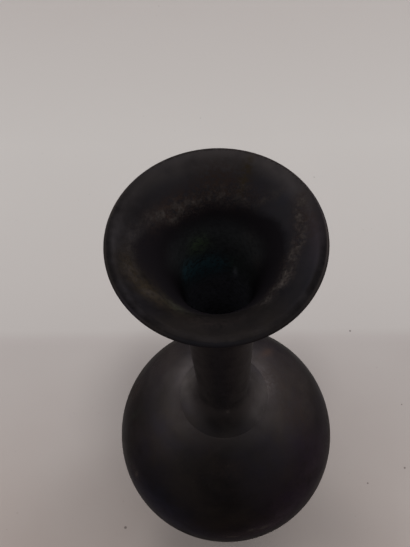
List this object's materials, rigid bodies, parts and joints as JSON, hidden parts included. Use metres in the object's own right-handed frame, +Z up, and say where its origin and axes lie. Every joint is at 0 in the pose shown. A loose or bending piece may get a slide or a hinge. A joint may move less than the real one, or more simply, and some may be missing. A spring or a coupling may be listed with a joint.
{
  "type": "bronze vase",
  "caption": "Dark patinated bronze bottle vase: flared trumpet mouth, slender neck, globular body and a low ring foot with an inset base plate.",
  "frame": {"origin": "centre of the face that the foot ring stands on", "axes": "+Z up along the vase's axis of revolution; the mouth is at the top"},
  "size_m": [0.092, 0.092, 0.225],
  "materials": {
    "bronze_mouth_and_neck": "dark brown-black patina, satin, with crusty specks and verdigris inside the mouth",
    "bronze_body": "dark brown-black patina, satin",
    "bronze_foot": "dark brown-black patina, rubbed brighter on the standing edge",
    "bronze_base_plate": "dull brown patina",
    "braze": "tarnished yellow brazing metal",
    "solder": "dull grey soft solder"
  },
  "bodies": {
    "root": {"mouth_and_neck": "bronze_mouth_and_neck", "body": "bronze_body", "foot_ring": "bronze_foot", "base_plate": "bronze_base_plate", "neck_braze_ring": "braze", "foot_braze_ring": "braze", "base_solder_ring": "solder"}
  },
  "joints": []
}
